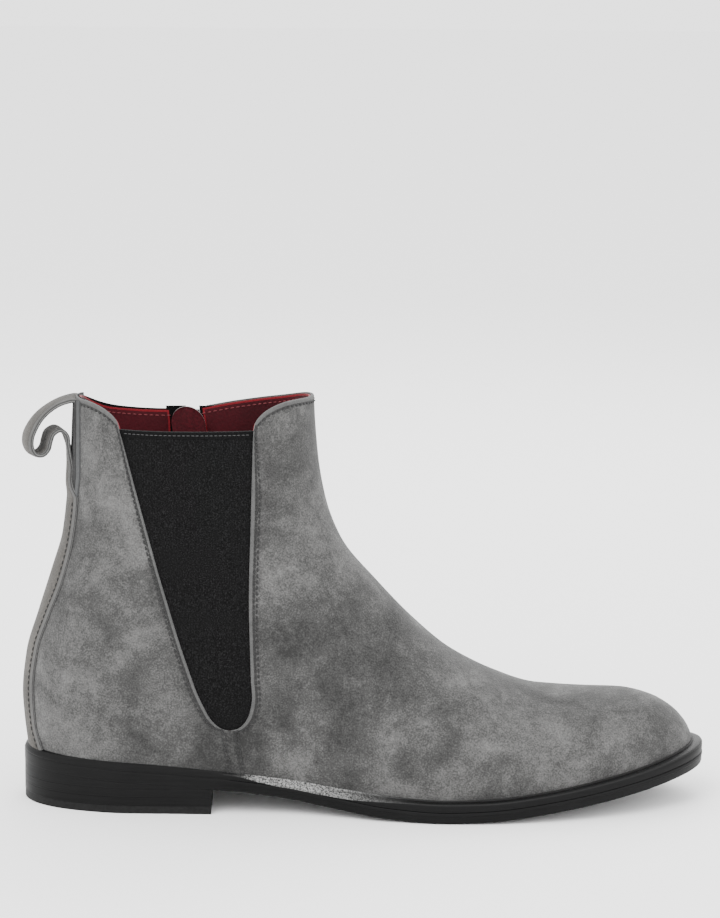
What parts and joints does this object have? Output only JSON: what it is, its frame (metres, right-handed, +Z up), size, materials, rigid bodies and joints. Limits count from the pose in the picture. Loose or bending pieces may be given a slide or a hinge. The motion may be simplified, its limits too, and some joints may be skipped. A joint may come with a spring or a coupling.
{
  "type": "ankle boot",
  "caption": "Right-foot suede chelsea boot with an elastic gore outside, a zip inside, a curled pull loop, leather lining, welted leather sole and low stacked heel",
  "frame": {"origin": "on the ground under the middle of the boot's box", "axes": "+X to the toe, +Y to the inner (medial) side of the foot, +Z up"},
  "size_m": [0.3067, 0.1002, 0.1837],
  "materials": {
    "suede": "mottled mid grey nap, matt",
    "lining_leather": "burgundy smooth leather, bright red cut edges",
    "elastic": "black fine ribbed woven elastic",
    "black_tape": "black woven tape",
    "stiffener": "off-white thermoplastic sheet",
    "zip_metal": "dark nickel",
    "welt_leather": "black, waxed, lightly speckled on top",
    "sole_leather": "black edge ink, satin",
    "top_piece_rubber": "black, satin",
    "insole_board": "natural leather board",
    "steel": "plain",
    "cork": "granulated cork"
  },
  "bodies": {
    "boot": {"vamp": "suede", "quarter_lateral": "suede", "quarter_medial": "suede", "back_strip": "suede", "back_tab": "suede", "pull_loop": "suede", "lining_vamp": "lining_leather", "lining_quarter_lateral": "lining_leather", "lining_quarter_medial": "lining_leather", "zip_guard": "lining_leather", "sock_liner": "lining_leather", "elastic_gore": "elastic", "gore_hem": "black_tape", "topline_tape": "black_tape", "zip_tape_front": "black_tape", "zip_tape_back": "black_tape", "toe_puff": "stiffener", "heel_counter": "stiffener", "zip_teeth_front": "zip_metal", "zip_teeth_back": "zip_metal", "zip_top_stops": "zip_metal", "zip_bottom_stop": "zip_metal", "welt": "welt_leather", "heel_rand": "welt_leather", "outsole": "sole_leather", "heel_lift_wedge": "sole_leather", "heel_lift_2": "sole_leather", "heel_lift_1": "sole_leather", "heel_top_piece": "top_piece_rubber", "insole_board": "insole_board", "shank": "steel", "heel_nails": "steel", "cork_filler": "cork"},
    "slider": {"zip_slider": "zip_metal"},
    "puller": {"zip_puller": "zip_metal"}
  },
  "joints": [
    {"name": "zip_slide", "type": "slide", "parent": "boot", "child": "slider", "axis": [0.1279, 0, -0.9918], "range_m": [0, 0.107]},
    {"name": "puller_swing", "type": "hinge", "parent": "slider", "child": "puller", "pos_m": [-0.07603, 0.03755, 0.16059], "axis": [0.9918, 0, 0.1279], "range_deg": [0, 170]}
  ]
}
